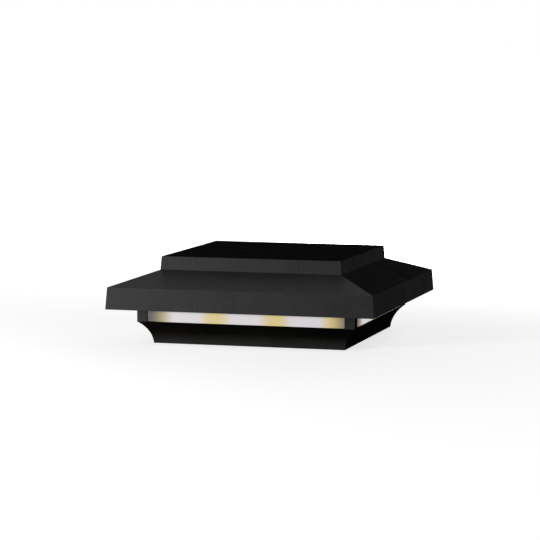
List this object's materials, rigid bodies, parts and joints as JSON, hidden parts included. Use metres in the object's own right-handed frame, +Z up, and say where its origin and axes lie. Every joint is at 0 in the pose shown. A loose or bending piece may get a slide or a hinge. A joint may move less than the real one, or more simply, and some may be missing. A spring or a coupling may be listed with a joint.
{
  "type": "deck post cap light",
  "caption": "Low square post cap light with a hipped lift-off top, frosted light windows under its brim and a coved base that slips over a square post.",
  "frame": {"origin": "middle of the lip's underside, where the light stands when it is off its post", "axes": "+Z up out of the post, -Y towards the front window, +X to the right"},
  "size_m": [0.1554, 0.1554, 0.0494],
  "materials": {
    "powder_coat_cap": "satin black powder coat on cast aluminium",
    "powder_coat_base": "satin black powder coat on cast aluminium",
    "zinc_plate": "bare rolled aluminium",
    "screw_steel": "stainless steel",
    "seal_silicone": "matt silicone",
    "nylon": "natural nylon",
    "frosted_lens": "frosted polycarbonate, lit from behind",
    "seal_foam": "closed-cell foam",
    "thermal_silicone": "matt thermal silicone",
    "led_board_white": "white solder mask",
    "led_package": "white package with a yellow phosphor window",
    "wire_insulation": "PVC insulation, red and black",
    "standoff_brass": "nickel-free brass",
    "circuit_board": "green solder mask",
    "moulded_package": "black moulding compound",
    "capacitor_sleeve": "dark blue shrink sleeve",
    "ferrite": "ferrite",
    "terminal_plastic": "green nylon",
    "terminal_brass": "plated brass",
    "grommet_rubber": "matt rubber"
  },
  "bodies": {
    "base": {"base_casting": "powder_coat_base", "deck_plate": "zinc_plate", "deck_screws": "screw_steel", "lid_seal": "seal_silicone", "cap_screws": "screw_steel", "screw_retainers": "nylon", "lens_front": "frosted_lens", "lens_right": "frosted_lens", "lens_rear": "frosted_lens", "lens_left": "frosted_lens", "lens_seal_front": "seal_foam", "lens_seal_right": "seal_foam", "lens_seal_rear": "seal_foam", "lens_seal_left": "seal_foam", "thermal_pad_front": "thermal_silicone", "thermal_pad_right": "thermal_silicone", "thermal_pad_rear": "thermal_silicone", "thermal_pad_left": "thermal_silicone", "led_board_front": "led_board_white", "led_board_right": "led_board_white", "led_board_rear": "led_board_white", "led_board_left": "led_board_white", "leds_front": "led_package", "leds_right": "led_package", "leds_rear": "led_package", "leds_left": "led_package", "board_screws": "screw_steel", "jumper_front_right": "wire_insulation", "jumper_right_rear": "wire_insulation", "jumper_left_front": "wire_insulation", "standoffs": "standoff_brass", "driver_board": "circuit_board", "driver_screws": "screw_steel", "bridge_rectifier": "moulded_package", "capacitors": "capacitor_sleeve", "inductor": "ferrite", "driver_chip": "moulded_package", "terminal_block": "terminal_plastic", "terminal_screws": "terminal_brass", "feed_wires": "wire_insulation", "lead_grommet": "grommet_rubber"},
    "cap": {"top_cap": "powder_coat_cap"}
  },
  "joints": [
    {"name": "cap_lift", "type": "slide", "parent": "base", "child": "cap", "axis": [0, 0, 1], "range_m": [0, 0.06]}
  ]
}
